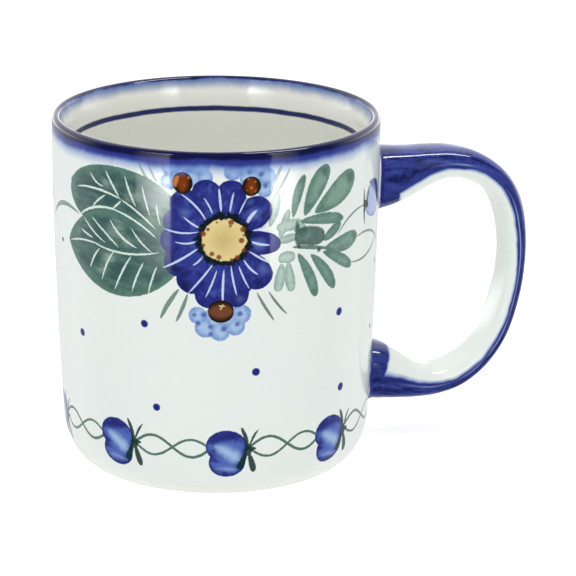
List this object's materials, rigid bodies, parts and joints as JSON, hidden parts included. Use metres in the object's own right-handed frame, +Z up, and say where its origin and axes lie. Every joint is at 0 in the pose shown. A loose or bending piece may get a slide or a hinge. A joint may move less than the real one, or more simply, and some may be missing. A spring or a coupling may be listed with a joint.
{
  "type": "stoneware mug",
  "caption": "Straight-sided stoneware mug with a rounded foot corner, a cobalt rim and a strap handle luted on with slip; hand-painted folk flower decoration.",
  "frame": {"origin": "under the middle of the whole mug, on the surface it stands on; the cup's own axis is 22.2 mm away towards -X", "axes": "+X from the cup to the handle, +Z up"},
  "size_m": [0.1335, 0.089, 0.097],
  "materials": {
    "white_glaze": "glossy clear glaze over white slip, painted underglaze",
    "cobalt_glaze": "glossy clear glaze over cobalt blue",
    "slip_glaze": "glossy clear glaze over cobalt blue slip fillet"
  },
  "bodies": {
    "root": {"mug_body": "white_glaze", "handle": "cobalt_glaze", "upper_slip_joint": "slip_glaze", "lower_slip_joint": "slip_glaze"}
  },
  "joints": []
}
